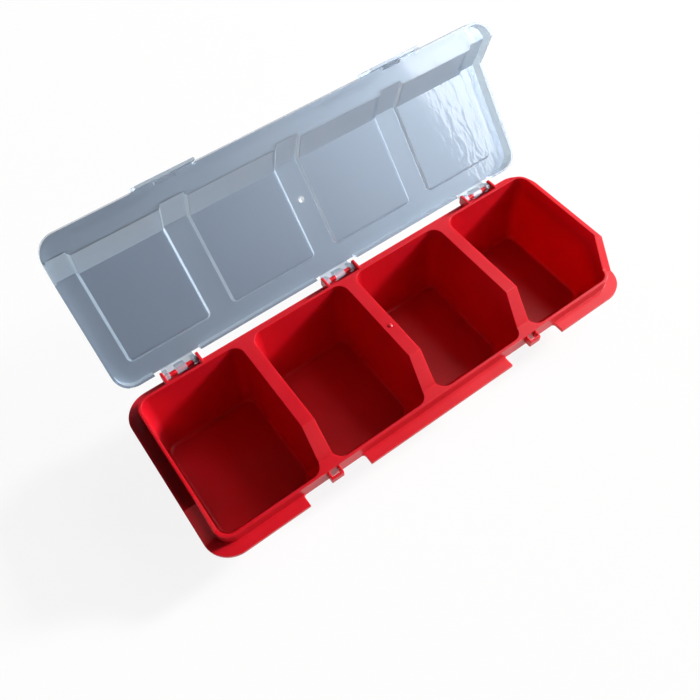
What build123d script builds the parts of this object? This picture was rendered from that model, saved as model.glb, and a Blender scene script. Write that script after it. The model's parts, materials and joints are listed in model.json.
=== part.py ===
from build123d import *
from math import atan2, cos, degrees, hypot, sin
import os

os.makedirs("parts", exist_ok=True)

# Screw organizer box: a four-pocket tray with a sloped front and a clear hinged lid.
# +X runs along the box, +Y to the hinges, +Z up. Everything is modelled with the lid
# shut and y measured from the middle of the pockets' feet. At the end the lid is swung
# open and the origin is moved to the middle of the open box's footprint.

# Driving dimensions of the tray, in millimetres
LENGTH = 280.0
DEPTH = 87.0
HEIGHT = 57.5
WALL = 1.6
FLOOR = 1.8
POCKETS = 4
DIVIDER = 7.8
POCKET_RADIUS = 7.0
FLOOR_RADIUS = 2.5
SIDE_DRAFT = 1.7
REAR_DRAFT = 1.2
FLOOR_DEPTH = 68.2
BEND = 66.0
SLOPE_RUN = 13.7
SLOPE_DROP = 20.0

# The flange that the lid's skirt comes down on
FLANGE_REACH = 7.2
FLANGE_DROP = 7.5
FLANGE_THICK = 2.0
NOTCH_WIDTH = 40.0
NOTCH_RADIUS = 2.0

# Catches on the front wall
CATCH_WIDTH = 8.0
CATCH_REACH = 4.4
CATCH_HEIGHT = 5.5
CATCH_RIB = 1.3
CATCH_TOP_DROP = 1.5

# Hinges
HINGE_SPACING = 107.8
PIN_BEHIND = 6.4
PIN_DROP = 4.1
PIN_RADIUS = 1.5
PIN_CLEARANCE = 0.1
EAR_GAP = 20.6
EAR_THICK = 1.7
EAR_BEHIND = 2.5
EAR_TOP_DROP = 0.3
EAR_RADIUS = 1.2
CLIP_WIDTH = 20.0
CLIP_RADIUS = 2.9
CLIP_GAP = 4.3
CLIP_GAP_CENTRE = 5.2
CLIP_MOUTH = 100.0
MOUTH_MIDDLE = -25.0
STOP_HEEL = 2.08

# Lid
LID_THICK = 1.3
LID_GAP = 0.3
LID_SIDE_REACH = 2.4
LID_REAR_REACH = 2.2
LID_FRONT_REACH = 4.4
LID_RADIUS = 11.4
SKIRT_CLEARANCE = 0.3
REAR_SKIRT = 5.7
RELIEF_REACH = 1.8
HINGE_CUT = 29.0
PAD_DEPTH = 2.0
PAD_MARGIN = 3.1
PAD_END_MARGIN = 8.2
PAD_REAR_MARGIN = 9.5
PAD_RADIUS = 3.5
PAD_EDGE = 1.4
OPEN_ANGLE = 129.0

# Latch tabs on the lid's front edge
TAB_WIDTH = 33.0
TAB_SIDE_GAP = 1.5
TAB_LENGTH = 18.0
TAB_THICK = 1.5
TAB_REACH = 1.75
TAB_LIP = 1.35
FILM_THICK = 0.5
FILM_GAP = 0.08
HOOK_WIDTH = 12.0
HOOK_REACH = 1.8
HOOK_THICK = 2.0

# The moulding gate's nub on the middle divider, and the dimple in the lid that clears it
NUB_RADIUS = 1.5
NUB_HEIGHT = 0.7
NUB_FROM_REAR = 43.5

# Worked-out places
FOOT_INSET = WALL + REAR_DRAFT
REAR = (FLOOR_DEPTH + 2 * WALL) / 2 + REAR_DRAFT
FRONT = REAR - DEPTH
END = LENGTH / 2
LEDGE = HEIGHT - SLOPE_DROP
SLOPE = atan2(SLOPE_DROP, SLOPE_RUN)
LIP_BOTTOM = LEDGE - FLANGE_DROP
POCKET_WIDTH = (LENGTH - 2 * WALL - (POCKETS - 1) * DIVIDER) / POCKETS
PITCH = POCKET_WIDTH + DIVIDER
POCKET_CENTRES = [PITCH * (i - (POCKETS - 1) / 2) for i in range(POCKETS)]
LATCH_CENTRES = {"left": -PITCH, "right": PITCH}
HINGE_CENTRES = {"left": -HINGE_SPACING, "middle": 0.0, "right": HINGE_SPACING}
PIN_Y = REAR + PIN_BEHIND
PIN_Z = HEIGHT - PIN_DROP
BEYOND = 60.0
LID_BACK = REAR + LID_REAR_REACH
LID_FRONT = FRONT - LID_FRONT_REACH
LID_END = END + LID_SIDE_REACH
NUB_BALL = (NUB_RADIUS**2 + NUB_HEIGHT**2) / (2 * NUB_HEIGHT)
PAD_INNER_EDGE = PAD_EDGE - LID_THICK * (2 - 2**0.5)


def rounded(width, front, rear, radius, z, centre=0.0):
    """A rounded rectangle in plan, between a front and a rear y."""
    place = Plane((centre, (front + rear) / 2, z))
    return place * RectangleRounded(width, rear - front, radius)


def prism(width, front, rear, radius, bottom, top, centre=0.0):
    """A rounded rectangle pulled straight up from bottom to top."""
    return extrude(rounded(width, front, rear, radius, bottom, centre), top - bottom)


def box_between(low, high):
    """A box between two corners."""
    size = [b - a for a, b in zip(low, high)]
    middle = [(a + b) / 2 for a, b in zip(low, high)]
    return Pos(*middle) * Box(*size)


def side_prism(points, half_width=LENGTH, centre=0.0):
    """A side profile, given as (y, z) points, pulled out along X both ways."""
    face = make_face(Plane.YZ * Polyline(*points, close=True))
    return Pos(centre, 0, 0) * extrude(face, half_width, both=True)


def top_line(offset, ledge_offset=None):
    """The rim's side profile from rear to front, moved square to itself by an offset."""
    ledge_offset = offset if ledge_offset is None else ledge_offset
    bend = offset * (1 - cos(SLOPE)) / sin(SLOPE)
    ledge_level = LEDGE + ledge_offset
    foot = BEND + (offset + (HEIGHT - ledge_level) * cos(SLOPE)) / sin(SLOPE)
    return [
        (REAR + BEYOND, HEIGHT + offset),
        (REAR - BEND - bend, HEIGHT + offset),
        (REAR - foot, ledge_level),
        (FRONT - BEYOND, ledge_level),
    ]


def between_lines(lower, upper):
    """Everything between two side profiles."""
    return side_prism(lower + upper[::-1])


def lowered(drop):
    """The rim's side profile moved straight down."""
    return [(y, z - drop) for y, z in top_line(0)]


def raised_above(line):
    """Everything above a side profile."""
    ceiling = HEIGHT + BEYOND
    return between_lines(line, [(line[0][0], ceiling), (line[-1][0], ceiling)])


def under(line):
    """Everything below a side profile."""
    cellar = -BEYOND
    return between_lines([(line[0][0], cellar), (line[-1][0], cellar)], line)


def cup(centre, grow, floor):
    """A pocket's tapering space, or its outside when grown by the wall."""
    half = POCKET_WIDTH / 2 + grow
    foot_rear = REAR - FOOT_INSET + grow
    front = FRONT + WALL - grow
    side_view = [
        (foot_rear, floor),
        (REAR - WALL + grow, HEIGHT),
        (front, HEIGHT),
        (front, LIP_BOTTOM),
        (foot_rear - FLOOR_DEPTH - 2 * grow, floor),
    ]
    front_view = [
        (SIDE_DRAFT - half, floor),
        (half - SIDE_DRAFT, floor),
        (half, HEIGHT),
        (-half, HEIGHT),
    ]
    across = extrude(make_face(Plane.XZ * Polyline(*front_view, close=True)), DEPTH, both=True)
    body = side_prism(side_view) & across
    uprights = body.edges().filter_by(lambda edge: edge.bounding_box().size.Z > DIVIDER)
    body = fillet(uprights, POCKET_RADIUS + grow)
    foot = body.faces().sort_by(Axis.Z)[0].edges()
    body = chamfer(foot, FLOOR_RADIUS) if grow else fillet(foot, FLOOR_RADIUS)
    return Pos(centre, 0, 0) * body


def rim_wall():
    """The upright band round the tray, with the flange at its foot."""
    outer_radius = POCKET_RADIUS + WALL
    solid = prism(LENGTH, FRONT, REAR, outer_radius, 0, HEIGHT)
    hole = prism(LENGTH - 2 * WALL, FRONT + WALL, REAR - WALL, POCKET_RADIUS, 0, HEIGHT)
    foot = lowered(FLANGE_DROP + FLANGE_THICK)
    band = (solid - hole) & between_lines(foot, top_line(0))
    plate = prism(
        LENGTH + 2 * FLANGE_REACH,
        FRONT - FLANGE_REACH,
        REAR + FLANGE_REACH,
        outer_radius + FLANGE_REACH,
        0,
        HEIGHT,
    )
    flange = (plate - hole) & between_lines(foot, lowered(FLANGE_DROP))
    return band + flange


def nub_ball(grow):
    """The ball whose cap is the gate's nub, grown for the dimple over it."""
    return Pos(0, REAR - NUB_FROM_REAR, HEIGHT + NUB_HEIGHT - NUB_BALL) * Sphere(NUB_BALL + grow)


def latch_notches():
    """The gaps in the front flange that the latch tabs pass through."""
    cuts = []
    for centre in LATCH_CENTRES.values():
        cuts.append(
            prism(NOTCH_WIDTH, FRONT - BEYOND, FRONT, NOTCH_RADIUS, 0, HEIGHT, centre)
        )
    return cuts


def base_tray():
    """The red tray: top sheet, rim, flange and four thin-walled pockets."""
    radius = POCKET_RADIUS + WALL
    sheet = prism(LENGTH, FRONT, REAR, radius, 0, HEIGHT)
    sheet = sheet & between_lines(top_line(-WALL), top_line(0))
    tray = rim_wall() + sheet
    shells = [cup(centre, WALL, 0) for centre in POCKET_CENTRES]
    shells = [shell & under(top_line(0)) for shell in shells]
    tray = tray + shells
    tray = tray - [cup(centre, 0, FLOOR) for centre in POCKET_CENTRES]
    tray = tray - latch_notches()
    return tray + (nub_ball(0) & raised_above(lowered(NUB_HEIGHT)))


def latch_catch(centre):
    """A hollow catch block on the front wall, open above and below."""
    top = LEDGE - CATCH_TOP_DROP
    bottom = top - CATCH_HEIGHT
    half = CATCH_WIDTH / 2
    nose = FRONT - CATCH_REACH
    profile = [
        (FRONT, bottom),
        (nose, bottom),
        (nose, top - CATCH_RIB),
        (nose + CATCH_RIB, top),
        (FRONT, top),
    ]
    block = side_prism(profile, half, centre)
    inside = half - CATCH_RIB
    slot = box_between(
        (centre - inside, nose + CATCH_RIB, bottom), (centre + inside, FRONT, top)
    )
    return block - slot


def hinge_ears(centre):
    """Two upright ears on the rear wall and flange that hold a hinge pin."""
    shelf = HEIGHT - FLANGE_DROP
    crown = HEIGHT - EAR_TOP_DROP
    tip = PIN_Y + EAR_BEHIND
    profile = [
        (REAR, shelf),
        (REAR + FLANGE_REACH, shelf),
        (tip, PIN_Z - EAR_BEHIND),
        (tip, crown),
        (REAR, crown),
    ]
    outline = make_face(Plane.YZ * Polyline(*profile, close=True))
    outer_corners = outline.vertices().group_by(Axis.Y)[-1]
    outline = fillet(outer_corners, EAR_RADIUS)
    ears = []
    for side in (-1, 1):
        ear = extrude(outline, EAR_THICK * side)
        ears.append(Pos(centre + EAR_GAP / 2 * side, 0, 0) * ear)
    return Compound(ears)


def hinge_pin(centre):
    """The round pin between two ears."""
    pin = Cylinder(PIN_RADIUS, EAR_GAP)
    return Pos(centre, PIN_Y, PIN_Z) * Rot(0, 90, 0) * pin


def lid_plate():
    """The lid's bent sheet with its skirt, before the pads are pressed in."""
    width = 2 * LID_END
    whole = prism(width, LID_FRONT, LID_BACK, LID_RADIUS, 0, HEIGHT + BEYOND)
    inner = prism(
        width - 2 * LID_THICK,
        LID_FRONT + LID_THICK,
        LID_BACK - LID_THICK,
        LID_RADIUS - LID_THICK,
        0,
        HEIGHT + BEYOND,
    )
    outside = top_line(LID_GAP + LID_THICK)
    inside = top_line(LID_GAP)
    sheet = whole & between_lines(inside, outside)
    skirt = (whole - inner) & between_lines(lowered(FLANGE_DROP - SKIRT_CLEARANCE), outside)
    return sheet + skirt


def skirt_cuts():
    """Gaps in the skirt at the hinges and latch tabs, and the relief along the rear."""
    hinge_half = HINGE_CUT / 2
    tab_half = TAB_WIDTH / 2 + TAB_SIDE_GAP
    cuts = []
    for centre in HINGE_CENTRES.values():
        low = (centre - hinge_half, LID_BACK - LID_THICK, 0)
        high = (centre + hinge_half, LID_BACK, HEIGHT + LID_GAP)
        cuts.append(box_between(low, high))
    for centre in LATCH_CENTRES.values():
        low = (centre - tab_half, LID_FRONT, 0)
        high = (centre + tab_half, LID_FRONT + LID_THICK, LEDGE + LID_GAP)
        cuts.append(box_between(low, high))
    relief_low = (-LID_END, LID_BACK - RELIEF_REACH, 0)
    relief_high = (LID_END, LID_BACK, HEIGHT - REAR_SKIRT)
    cuts.append(box_between(relief_low, relief_high))
    return cuts


def pad_span(index):
    """The left and right edges of the pad over one pocket."""
    half = POCKET_WIDTH / 2
    left = POCKET_CENTRES[index] - half + PAD_MARGIN
    right = POCKET_CENTRES[index] + half - PAD_MARGIN
    if index == 0:
        left = POCKET_CENTRES[index] - half + PAD_END_MARGIN
    if index == POCKETS - 1:
        right = POCKET_CENTRES[index] + half - PAD_END_MARGIN
    return left, right


def lid_pad(index, inset, low_line, edge):
    """The space over one pocket above a side profile, drawn in, with its low edges sloped."""
    left, right = pad_span(index)
    width = right - left - 2 * inset
    rear = REAR - PAD_REAR_MARGIN - inset
    radius = PAD_RADIUS - inset
    column = prism(width, FRONT, rear, radius, 0, HEIGHT + BEYOND, (left + right) / 2)
    pad = column & raised_above(low_line)
    undersides = pad.faces().filter_by(lambda face: face.normal_at().Z < 0)
    edges = undersides.sort_by(Axis.Y)[-2:].edges()
    bends = edges.filter_by(Axis.X).sort_by(Axis.Y)[:-1]
    return chamfer([rim for rim in edges if rim not in bends], edge)


def lid_shell():
    """The clear lid: a bent sheet with a skirt and a pad pressed down over each pocket."""
    outside_level = LID_GAP + LID_THICK
    lid = lid_plate()
    ceiling = under(top_line(outside_level))
    pad_under = top_line(LID_GAP - PAD_DEPTH, LID_GAP)
    pad_over = top_line(outside_level - PAD_DEPTH, outside_level)
    for index in range(POCKETS):
        lid = lid + (lid_pad(index, 0, pad_under, PAD_EDGE) & ceiling)
    for index in range(POCKETS):
        lid = lid - lid_pad(index, LID_THICK, pad_over, PAD_INNER_EDGE)
    lid = lid - skirt_cuts()
    return lid - nub_ball(LID_GAP)


def hook_section():
    """The open ring that snaps over a hinge pin, with its neck up to the lid's level."""
    ring = Plane.YZ * Pos(PIN_Y, PIN_Z) * Circle(CLIP_RADIUS)
    bore = Plane.YZ * Pos(PIN_Y, PIN_Z) * Circle(PIN_RADIUS + PIN_CLEARANCE)
    low = HEIGHT + LID_GAP
    neck = [
        (PIN_Y - CLIP_RADIUS, PIN_Z),
        (PIN_Y + STOP_HEEL, PIN_Z),
        (PIN_Y + STOP_HEEL, low),
        (PIN_Y - CLIP_RADIUS, low),
    ]
    corners = [(PIN_Y, PIN_Z)]
    for turn in (MOUTH_MIDDLE - CLIP_MOUTH / 2, MOUTH_MIDDLE + CLIP_MOUTH / 2):
        angle = turn / degrees(1)
        reach = 2 * CLIP_RADIUS
        corners.append((PIN_Y + reach * cos(angle), PIN_Z + reach * sin(angle)))
    mouth = make_face(Plane.YZ * Polyline(*corners, close=True))
    return ring + make_face(Plane.YZ * Polyline(*neck, close=True)) - bore - mouth


def hinge_clip(centre):
    """A tab behind the lid with three hooks that snap over the pin between its ears."""
    low = HEIGHT + LID_GAP
    half = CLIP_WIDTH / 2
    end = PIN_Y + CLIP_RADIUS
    tab = box_between((-half, LID_BACK, low), (half, end, low + LID_THICK))
    hooks = extrude(hook_section(), half, both=True)
    for side in (-1, 1):
        start = side * CLIP_GAP_CENTRE - CLIP_GAP / 2
        gap = box_between(
            (start, PIN_Y - CLIP_RADIUS, PIN_Z - CLIP_RADIUS), (start + CLIP_GAP, end, low)
        )
        hooks = hooks - gap
    return Pos(centre, 0, 0) * (hooks + tab)


def latch_tab(centre):
    """A latch tab on a thin film hinge, with a hook that passes under the catch."""
    top = LEDGE + LID_GAP + LID_THICK
    face = LID_FRONT - TAB_REACH
    back = face + TAB_THICK
    bottom = top - TAB_LENGTH
    flare = bottom + TAB_LENGTH / 2
    film_top = top - (LID_THICK - FILM_THICK) / 2
    half = TAB_WIDTH / 2
    plate = [
        (back, top),
        (back, flare),
        (back - TAB_LIP, bottom),
        (face - TAB_LIP, bottom),
        (face, flare),
        (face, top - TAB_THICK / 2),
        (face + TAB_THICK / 2, top),
    ]
    film = box_between(
        (centre - half, back, film_top - FILM_THICK),
        (centre + half, LID_FRONT - FILM_GAP, film_top),
    )
    hook_top = LEDGE - CATCH_TOP_DROP - CATCH_HEIGHT - LID_GAP
    hook_side = [
        (back, hook_top - HOOK_THICK - HOOK_REACH),
        (back, hook_top),
        (back + HOOK_REACH, hook_top),
        (back + HOOK_REACH, hook_top - HOOK_THICK / 2),
    ]
    hook = side_prism(hook_side, HOOK_WIDTH / 2, centre)
    return side_prism(plate, half, centre) + film + hook


def opened(shape):
    """The shape swung open with the lid about the hinge pins."""
    return shape.rotate(Axis((0, PIN_Y, PIN_Z), (1, 0, 0)), -OPEN_ANGLE)


def box_pieces():
    """Every piece by name, with the lid open."""
    pieces = {"base_tray": base_tray(), "lid_shell": opened(lid_shell())}
    for side, centre in LATCH_CENTRES.items():
        pieces[f"{side}_latch_catch"] = latch_catch(centre)
        pieces[f"{side}_latch_tab"] = opened(latch_tab(centre))
    for side, centre in HINGE_CENTRES.items():
        pieces[f"{side}_hinge_bracket"] = hinge_ears(centre)
        pieces[f"{side}_hinge_pin"] = hinge_pin(centre)
        pieces[f"{side}_hinge_clip"] = opened(hinge_clip(centre))
    return pieces


pieces = box_pieces()
footprint = Compound(list(pieces.values())).bounding_box()
middle = round((footprint.min.Y + footprint.max.Y) / 2, 2)
for name, piece in pieces.items():
    piece = Pos(0, -middle, 0) * piece
    piece.label = name
    export_step(piece, f"parts/{name}.step")

film_y = LID_FRONT - (TAB_REACH - TAB_THICK) / 2 - PIN_Y
film_z = LEDGE + LID_GAP + LID_THICK / 2 - PIN_Z
reach = hypot(film_y, film_z)
angle = atan2(film_z, film_y) - OPEN_ANGLE / degrees(1)
print("footprint's middle", middle)
print("tray depth", round(DEPTH + 2 * FLANGE_REACH, 2), "length", LENGTH + 2 * FLANGE_REACH)
print("rear face y", round(REAR - middle, 3), "front face y", round(FRONT - middle, 3))
print("hinge pin y, z", round(PIN_Y - middle, 3), round(PIN_Z, 3))
print("film hinge y", round(PIN_Y + reach * cos(angle) - middle, 3))
print("film hinge z", round(PIN_Z + reach * sin(angle), 3))
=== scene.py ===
import json
import math

import bpy
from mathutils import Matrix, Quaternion, Vector

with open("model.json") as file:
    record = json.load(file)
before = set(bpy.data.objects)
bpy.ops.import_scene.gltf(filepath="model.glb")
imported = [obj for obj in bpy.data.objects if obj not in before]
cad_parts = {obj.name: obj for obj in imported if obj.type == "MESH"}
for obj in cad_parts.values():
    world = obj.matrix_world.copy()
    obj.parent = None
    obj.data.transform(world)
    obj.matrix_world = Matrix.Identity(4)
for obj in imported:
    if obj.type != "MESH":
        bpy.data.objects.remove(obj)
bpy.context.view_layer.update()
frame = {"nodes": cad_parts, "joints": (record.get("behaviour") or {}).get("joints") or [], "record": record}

# Lengths are in metres and angles in degrees, unless a comment says otherwise
MM = 0.001

# The photograph's camera, found from the box's straight edges
CAMERA_PLACE = Vector((-0.1486, -0.2207, 0.4171))
CAMERA_AZIMUTH = -32.93
CAMERA_ELEVATION = 55.51
CAMERA_ROLL = 3.78

# The same camera's lens, in pixels of the picture, and the sensor's width in millimetres
IMAGE_WIDTH = 700
FOCAL_PIXELS = 771.0
AXIS_PIXEL = (357.2, 324.6)
SENSOR_WIDTH = 36.0

# The moulded edges' radius, and how the facets are joined before they are rounded
EDGE_RADIUS = 0.35 * MM
EDGE_ANGLE = 22
EDGE_STEPS = 2
JOIN_DISTANCE = 0.002 * MM
FLAT_ANGLE = 0.5

# The sloped band's lean from the lid's main sheet. The pads' flats and the gate are found from
# the middle of the hinge pins, along the main sheet or square to it
SLOPE_ANGLE = 55.6
PAD_ABOVE_PIN = 3.05 * MM
PAD_HALF_LEVEL = 0.95 * MM
GATE_FROM_PIN = 49.9 * MM
GATE_ABOVE_PIN = 5.3 * MM

# The radii between which the pale painted highlight at the gate fades out
GATE_HIGHLIGHT = (1.4 * MM, 2.6 * MM)

# The cosines between which a face begins to count as facing a direction and wholly does
FACING_RANGE = (0.75, 0.95)

# Patterns in the plastics and the paper, by the real size of their marks
RED_CLOUD_SIZE = 35 * MM
CLEAR_CLOUD_SIZE = 45 * MM
PEEL_SIZE = 1.6 * MM
PEEL_DEPTH = 0.02 * MM
RIPPLE_SIZE = (5 * MM, 11 * MM, 11 * MM)
RIPPLE_DEPTH = 0.18 * MM
RIPPLE_RANGE = (95 * MM, 122 * MM)
RIPPLE_LEAST = 0.12
GRAIN_SIZE = 2 * MM
GRAIN_DEPTH = 0.05 * MM

# How the plastics take light. The glow is light that comes out of a wall again, and its reach
# is given for red, green and blue, as shares of its depth
PLASTIC_IOR = 1.49
RED_ROUGHNESS = (0.34, 0.4)
RED_GLOW_SHARE = 0.5
RED_GLOW_REACH = (1.0, 0.1, 0.08)
RED_GLOW_DEPTH = 4 * MM
CLEAR_ROUGHNESS = 0.06
SHEEN_SPREAD = 0.45
SHEEN_SHARE = 0.21
SHADOW_SHARE = 0.8

# How milky each form of the lid is: a pad's flat, the main sheet, the sloped band, steep walls
SHEET_HAZE = {"pad_haze": 0.04, "sheet_haze": 0.1, "slope_haze": 0.16, "edge_haze": 0.3}
SNAP_HAZE = {"pad_haze": 0.25, "sheet_haze": 0.25, "slope_haze": 0.25, "edge_haze": 0.25}

# The paper floor, and the share of pure white in it for each way in which it is seen
FLOOR_HALF_WIDTH = 3.0
FLOOR_GAP = 0.05 * MM
FLOOR_WHITE = (("Is Camera Ray", 0.88), ("Is Glossy Ray", 0.88), ("Is Transmission Ray", 0.3))

# Colours of the two plastics and the studio
RED_DEEP = "#bd0b1b"
RED_BRIGHT = "#d21325"
SHEET_TINT = "#6a778a"
# The sloped band's lighter, bluer stain is painted light
SLOPE_PAINTED_LIGHT = "#b4c4d2"
# The steep walls' pale stain is a painted highlight
EDGE_PAINTED_HIGHLIGHT = "#c4ced6"
SNAP_TINT = "#e4ecf3"
HAZE_COOL = "#b9cadb"
HAZE_PALE = "#e6ece9"
SHEEN_COOL = "#dae7f4"
PAPER = "#f4f3f1"
DAYLIGHT = "#fbfdff"
ROOM_AIR = "#f3f9ff"
WHITE = "#ffffff"

lid_hinge = next(joint for joint in frame["joints"] if joint["name"] == "lid_hinge")


def linear(colour):
    """An sRGB hex colour as linear red, green, blue and alpha."""
    channels = [int(colour[i:i + 2], 16) / 255 for i in (1, 3, 5)]
    return [c / 12.92 if c <= 0.04045 else ((c + 0.055) / 1.055) ** 2.4 for c in channels] + [1.0]


def add_node(tree, kind, settings=None, **inputs):
    """Adds a node with its settings, and sets or links its inputs by name, or by number as _0."""
    node = tree.nodes.new(kind)
    for name, value in (settings or {}).items():
        setattr(node, name, value)
    for name, value in inputs.items():
        key = int(name[1:]) if name[0] == "_" else name.replace("_", " ")
        socket = node.inputs[key]
        if isinstance(value, bpy.types.NodeSocket):
            tree.links.new(value, socket)
        else:
            socket.default_value = value
    return node


def new_material(name):
    """An empty node material and its tree."""
    material = bpy.data.materials.new(name)
    material.use_nodes = True
    material.node_tree.nodes.clear()
    return material, material.node_tree


def red_polypropylene():
    """Opaque red polypropylene from a polished mould.

    To the eye it is saturated and glossy with a faint orange peel, a little uneven in tone and
    gloss where it has been handled, and it glows a little where a wall is thin. Its material
    also rounds the edges in shading, as the bevel is held back by the tray's shortest facets.
    """
    material, tree = new_material("red_polypropylene")
    place = add_node(tree, "ShaderNodeTexCoord").outputs["Object"]
    clouds = add_node(
        tree, "ShaderNodeTexNoise", Vector=place, Scale=1 / RED_CLOUD_SIZE, Detail=3.0)
    peel = add_node(tree, "ShaderNodeTexNoise", Vector=place, Scale=1 / PEEL_SIZE, Detail=1.0)
    rim = add_node(tree, "ShaderNodeBevel", {"samples": 8}, Radius=EDGE_RADIUS)
    skin = add_node(
        tree, "ShaderNodeBump", Strength=0.2, Distance=PEEL_DEPTH, Height=peel.outputs["Fac"],
        Normal=rim.outputs["Normal"])
    tone = add_node(
        tree, "ShaderNodeMix", {"data_type": "RGBA"},
        _0=clouds.outputs["Fac"], _6=linear(RED_DEEP), _7=linear(RED_BRIGHT))
    rubbed = add_node(
        tree, "ShaderNodeMapRange", Value=clouds.outputs["Fac"],
        From_Min=0.3, From_Max=0.7, To_Min=RED_ROUGHNESS[0], To_Max=RED_ROUGHNESS[1])
    shader = add_node(
        tree, "ShaderNodeBsdfPrincipled", Base_Color=tone.outputs[2],
        Roughness=rubbed.outputs["Result"], IOR=PLASTIC_IOR, Subsurface_Weight=RED_GLOW_SHARE,
        Subsurface_Radius=RED_GLOW_REACH, Subsurface_Scale=RED_GLOW_DEPTH,
        Normal=skin.outputs["Normal"])
    add_node(tree, "ShaderNodeOutputMaterial", Surface=shader.outputs["BSDF"])
    return material


def lid_direction(lean):
    """The direction in the open lid that leans forward by an angle from square to its sheet."""
    angle = math.radians(90 + lean - max(lid_hinge["range_deg"]))
    return Vector((0.0, math.cos(angle), math.sin(angle)))


def pad_level():
    """How far out the middle of the pads' flats lies, square to the lid's main sheet."""
    return Vector(lid_hinge["pos_m"]).dot(lid_direction(0)) + PAD_ABOVE_PIN


def gate_place():
    """Where the open lid was filled from, over the nub on the tray's middle divider."""
    forward = GATE_FROM_PIN * lid_direction(90)
    return Vector(lid_hinge["pos_m"]) + forward + GATE_ABOVE_PIN * lid_direction(0)


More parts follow.
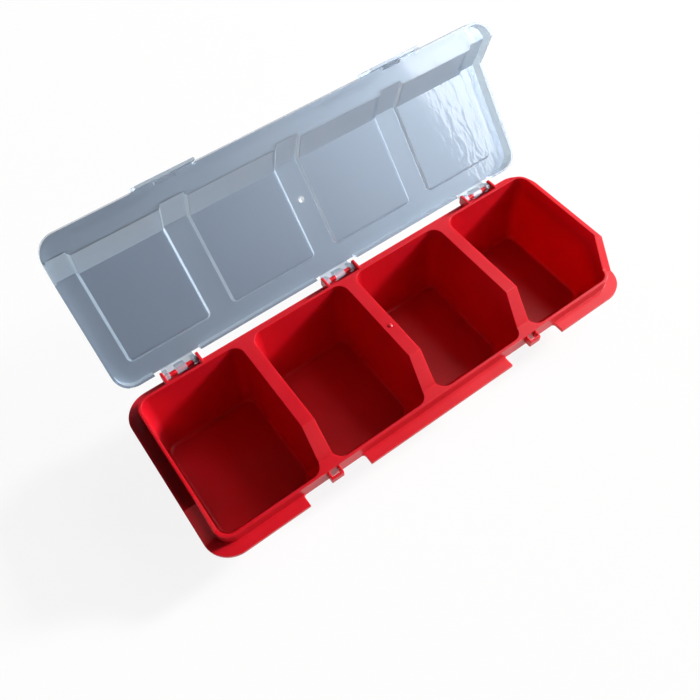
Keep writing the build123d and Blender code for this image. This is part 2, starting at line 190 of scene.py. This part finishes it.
def clear_polypropylene(name, tint, edge_highlight_tint, pad_haze, sheet_haze, slope_haze, edge_haze):
    """Clarified polypropylene from a polished mould.

    To the eye it is see-through with a cool grey stain and flow ripples at its two ends. Its
    sloped band is stained lighter as painted light, its steep walls paler as a painted
    highlight, and a pale spot at the gate, where it was filled, is a painted highlight. It is
    milkier in the walls that stand up from the sheet, and a broad pale sheen lies over all of it.
    """
    material, tree = new_material(name)
    place = add_node(tree, "ShaderNodeTexCoord")
    clouds = add_node(
        tree, "ShaderNodeTexNoise", Vector=place.outputs["Object"],
        Scale=1 / CLEAR_CLOUD_SIZE, Detail=3.0)

    # Ripples that grow towards both ends, furthest from the gate
    stretched = add_node(
        tree, "ShaderNodeVectorMath", {"operation": "MULTIPLY"},
        _0=place.outputs["Object"], _1=[1 / size for size in RIPPLE_SIZE])
    wave = add_node(
        tree, "ShaderNodeTexNoise", Vector=stretched.outputs["Vector"],
        Scale=1.0, Detail=1.0, Distortion=0.8)
    across = add_node(tree, "ShaderNodeSeparateXYZ", Vector=place.outputs["Object"])
    from_gate = add_node(
        tree, "ShaderNodeMath", {"operation": "ABSOLUTE"}, _0=across.outputs["X"])
    flow = add_node(
        tree, "ShaderNodeMapRange", Value=from_gate.outputs[0],
        From_Min=RIPPLE_RANGE[0], From_Max=RIPPLE_RANGE[1], To_Min=RIPPLE_LEAST, To_Max=1.0)
    skin = add_node(
        tree, "ShaderNodeBump", Strength=flow.outputs["Result"], Distance=RIPPLE_DEPTH,
        Height=wave.outputs["Fac"])

    # Which form of the lid a point is in: a flat, the sloped band, a pad's flat or a steep wall
    facing = []
    for lean in (0, SLOPE_ANGLE):
        along = add_node(
            tree, "ShaderNodeVectorMath", {"operation": "DOT_PRODUCT"},
            _0=place.outputs["Normal"], _1=lid_direction(lean))
        size = add_node(
            tree, "ShaderNodeMath", {"operation": "ABSOLUTE"}, _0=along.outputs["Value"])
        share = add_node(
            tree, "ShaderNodeMapRange", Value=size.outputs[0],
            From_Min=FACING_RANGE[0], From_Max=FACING_RANGE[1])
        facing.append(share.outputs["Result"])
    in_flat, in_slope = facing
    level = add_node(
        tree, "ShaderNodeVectorMath", {"operation": "DOT_PRODUCT"},
        _0=place.outputs["Object"], _1=lid_direction(0))
    in_pad = add_node(
        tree, "ShaderNodeMath", {"operation": "COMPARE"},
        _0=level.outputs["Value"], _1=pad_level(), _2=PAD_HALF_LEVEL)

    # How milky each form is
    flat_haze = add_node(
        tree, "ShaderNodeMapRange", Value=in_pad.outputs[0], To_Min=sheet_haze, To_Max=pad_haze)
    steep_haze = add_node(
        tree, "ShaderNodeMapRange", Value=in_slope, To_Min=edge_haze, To_Max=slope_haze)
    milk = add_node(
        tree, "ShaderNodeMapRange", Value=in_flat,
        To_Min=steep_haze.outputs["Result"], To_Max=flat_haze.outputs["Result"])

    # The grey stain on the flats, with painted light on the slope and painted highlights on walls and gate
    # Painted light: the sloped band is stained lighter and the steep walls paler than the flats
    steep_painted_light = add_node(
        tree, "ShaderNodeMix", {"data_type": "RGBA"},
        _0=in_slope, _6=linear(edge_highlight_tint), _7=linear(SLOPE_PAINTED_LIGHT))
    flat_stain_and_painted_light = add_node(
        tree, "ShaderNodeMix", {"data_type": "RGBA"},
        _0=in_flat, _6=steep_painted_light.outputs[2], _7=linear(tint))
    gate = add_node(
        tree, "ShaderNodeVectorMath", {"operation": "DISTANCE"},
        _0=place.outputs["Object"], _1=gate_place())
    # A pale spot painted round the gate, a painted highlight on its mark
    thin = add_node(
        tree, "ShaderNodeMapRange", Value=gate.outputs["Value"],
        From_Min=GATE_HIGHLIGHT[0], From_Max=GATE_HIGHLIGHT[1], To_Min=1.0, To_Max=0.0)
    stain = add_node(
        tree, "ShaderNodeMix", {"data_type": "RGBA"},
        _0=thin.outputs["Result"], _6=flat_stain_and_painted_light.outputs[2], _7=linear(PAPER))

    # Clear plastic, then the milk in it, then the sheen over both
    clear = add_node(
        tree, "ShaderNodeBsdfPrincipled", Base_Color=stain.outputs[2], Roughness=CLEAR_ROUGHNESS,
        IOR=PLASTIC_IOR, Transmission_Weight=1.0, Normal=skin.outputs["Normal"])
    cloudy = add_node(
        tree, "ShaderNodeMix", {"data_type": "RGBA"},
        _0=clouds.outputs["Fac"], _6=linear(HAZE_COOL), _7=linear(HAZE_PALE))
    back = add_node(tree, "ShaderNodeBsdfTranslucent", Color=cloudy.outputs[2])
    front = add_node(tree, "ShaderNodeBsdfDiffuse", Color=cloudy.outputs[2])
    haze = add_node(
        tree, "ShaderNodeMixShader", _0=0.5, _1=back.outputs["BSDF"], _2=front.outputs["BSDF"])
    milky = add_node(
        tree, "ShaderNodeMixShader", _0=milk.outputs["Result"], _1=clear.outputs["BSDF"],
        _2=haze.outputs["Shader"])
    bloom = add_node(
        tree, "ShaderNodeBsdfAnisotropic", Color=linear(SHEEN_COOL), Roughness=SHEEN_SPREAD)
    seen = add_node(
        tree, "ShaderNodeMixShader", _0=SHEEN_SHARE, _1=milky.outputs["Shader"],
        _2=bloom.outputs["BSDF"])

    # Most light passes straight through, so the lid's shadow stays faint
    path = add_node(tree, "ShaderNodeLightPath")
    lets_by = add_node(
        tree, "ShaderNodeMath", {"operation": "MULTIPLY"},
        _0=path.outputs["Is Shadow Ray"], _1=SHADOW_SHARE)
    through = add_node(tree, "ShaderNodeBsdfTransparent", Color=linear(WHITE))
    both = add_node(
        tree, "ShaderNodeMixShader", _0=lets_by.outputs[0], _1=seen.outputs["Shader"],
        _2=through.outputs["BSDF"])
    add_node(tree, "ShaderNodeOutputMaterial", Surface=both.outputs["Shader"])
    return material


def paper_floor():
    """Uncoated white paper sweep, calendered smooth.

    To the eye it is plain white with the box's soft shadow, and less white through the lid. Its
    grain is drawn coarser than real fibres are, so that it shows.
    """
    material, tree = new_material("white_paper")
    place = add_node(tree, "ShaderNodeTexCoord").outputs["Object"]
    grain = add_node(tree, "ShaderNodeTexNoise", Vector=place, Scale=1 / GRAIN_SIZE, Detail=2.0)
    path = add_node(tree, "ShaderNodeLightPath")
    share = 0.0
    for ray, part in FLOOR_WHITE:
        white = add_node(
            tree, "ShaderNodeMath", {"operation": "MULTIPLY"}, _0=path.outputs[ray], _1=part)
        whitest = add_node(
            tree, "ShaderNodeMath", {"operation": "MAXIMUM"}, _0=white.outputs[0], _1=share)
        share = whitest.outputs[0]
    bump = add_node(
        tree, "ShaderNodeBump", Strength=0.1, Distance=GRAIN_DEPTH, Height=grain.outputs["Fac"])
    paper = add_node(
        tree, "ShaderNodeBsdfDiffuse", Color=linear(PAPER), Roughness=0.6,
        Normal=bump.outputs["Normal"])
    glow = add_node(tree, "ShaderNodeEmission", Color=linear(WHITE), Strength=1.0)
    both = add_node(
        tree, "ShaderNodeMixShader", _0=share, _1=paper.outputs["BSDF"],
        _2=glow.outputs["Emission"])
    add_node(tree, "ShaderNodeOutputMaterial", Surface=both.outputs["Shader"])
    return material


def dress(node_names, material):
    """Gives CAD nodes a finish, and rounds their moulded edges a little.

    The facets are joined and the flats made whole first, so that the bevel follows real edges.
    """
    for name in node_names:
        node = frame["nodes"][name]
        node.data.materials.clear()
        node.data.materials.append(material)
        weld = node.modifiers.new("join_facets", "WELD")
        weld.merge_threshold = JOIN_DISTANCE
        flats = node.modifiers.new("whole_flats", "DECIMATE")
        flats.decimate_type = "DISSOLVE"
        flats.angle_limit = math.radians(FLAT_ANGLE)
        bevel = node.modifiers.new("edge_radius", "BEVEL")
        bevel.width = EDGE_RADIUS
        bevel.segments = EDGE_STEPS
        bevel.angle_limit = math.radians(EDGE_ANGLE)
        shade = node.modifiers.new("even_shading", "WEIGHTED_NORMAL")
        shade.mode = "FACE_AREA"
        shade.weight = 100


def lay_floor():
    """A wide paper floor, a hair below the level the box stands on."""
    half = FLOOR_HALF_WIDTH
    mesh = bpy.data.meshes.new("paper_floor")
    corners = [(-half, -half, 0), (half, -half, 0), (half, half, 0), (-half, half, 0)]
    mesh.from_pydata(corners, [], [(0, 1, 2, 3)])
    floor = bpy.data.objects.new("paper_floor", mesh)
    floor.location.z = -FLOOR_GAP
    bpy.context.scene.collection.objects.link(floor)
    mesh.materials.append(paper_floor())


def outward(azimuth, elevation):
    """The direction out from the box at an angle round it and an angle above the floor.

    The first angle is 0 at the front and grows towards the right.
    """
    turn = math.radians(azimuth)
    rise = math.radians(elevation)
    return Vector((
        math.sin(turn) * math.cos(rise), -math.cos(turn) * math.cos(rise), math.sin(rise)))


def soft_lamp(name, place, distance, facing, size, power, colour):
    """A rectangular soft lamp that shines back along a direction out from the box.

    Its place and that direction are each an angle round the box and one above the floor, its
    size is a width and a height, and its power is in watts.
    """
    data = bpy.data.lights.new(name, "AREA")
    data.shape = "RECTANGLE"
    data.size, data.size_y = size
    data.energy = power
    data.color = linear(colour)[:3]
    lamp = bpy.data.objects.new(name, data)
    lamp.location = outward(*place) * distance
    lamp.rotation_mode = "QUATERNION"
    lamp.rotation_quaternion = outward(*facing).to_track_quat("Z", "Y")
    bpy.context.scene.collection.objects.link(lamp)


def light_studio():
    """Three windows on the right and a white room.

    A low sun gives the shadows, a tall window beside it lies mirrored in the lid's right end,
    and a weaker one stands high up. The room is white to the camera and hardly lights the box.
    """
    soft_lamp(
        "sun_window", place=(78, 30), distance=2.0, facing=(78, 30),
        size=(0.3, 0.3), power=68, colour=WHITE)
    soft_lamp(
        "sky_window", place=(42.2, 26), distance=2.77, facing=(44, 0),
        size=(0.45, 1.7), power=21.5, colour=DAYLIGHT)
    soft_lamp(
        "high_window", place=(92, 52), distance=1.4, facing=(92, 52),
        size=(0.6, 0.6), power=5, colour=WHITE)
    world = bpy.data.worlds.new("white_room")
    bpy.context.scene.world = world
    world.use_nodes = True
    tree = world.node_tree
    tree.nodes.clear()
    path = add_node(tree, "ShaderNodeLightPath")
    room = add_node(tree, "ShaderNodeBackground", Color=linear(ROOM_AIR), Strength=0.02)
    white = add_node(tree, "ShaderNodeBackground", Color=linear(WHITE), Strength=1.0)
    both = add_node(
        tree, "ShaderNodeMixShader", _0=path.outputs["Is Camera Ray"],
        _1=room.outputs["Background"], _2=white.outputs["Background"])
    add_node(tree, "ShaderNodeOutputWorld", Surface=both.outputs["Shader"])


def set_camera():
    """The photograph's viewpoint, lens and framing."""
    back = outward(CAMERA_AZIMUTH, CAMERA_ELEVATION)
    roll = Quaternion((0, 0, 1), -math.radians(CAMERA_ROLL))
    data = bpy.data.cameras.new("photo_camera")
    data.sensor_width = SENSOR_WIDTH
    data.lens = SENSOR_WIDTH * FOCAL_PIXELS / IMAGE_WIDTH
    data.shift_x = (IMAGE_WIDTH / 2 - AXIS_PIXEL[0]) / IMAGE_WIDTH
    data.shift_y = (AXIS_PIXEL[1] - IMAGE_WIDTH / 2) / IMAGE_WIDTH
    data.clip_start = 10 * MM
    camera = bpy.data.objects.new("photo_camera", data)
    camera.location = CAMERA_PLACE
    camera.rotation_mode = "QUATERNION"
    camera.rotation_quaternion = back.to_track_quat("Z", "Y") @ roll
    bpy.context.scene.collection.objects.link(camera)
    bpy.context.scene.camera = camera


def nodes_of(slot):
    """The names of the CAD nodes whose material slot is this one."""
    return [row["node"] for row in frame["record"]["subparts"] if row["material_slot"] == slot]


snap_nodes = [name for name in nodes_of("clear_plastic") if name != "lid_shell"]
dress(nodes_of("red_plastic"), red_polypropylene())
dress(["lid_shell"], clear_polypropylene(
    "clear_polypropylene_sheet", SHEET_TINT, EDGE_PAINTED_HIGHLIGHT, **SHEET_HAZE))
dress(snap_nodes, clear_polypropylene(
    "clear_polypropylene_snaps", SNAP_TINT, SNAP_TINT, **SNAP_HAZE))
set_camera()
lay_floor()
light_studio()
bpy.context.scene.view_settings.view_transform = "Standard"
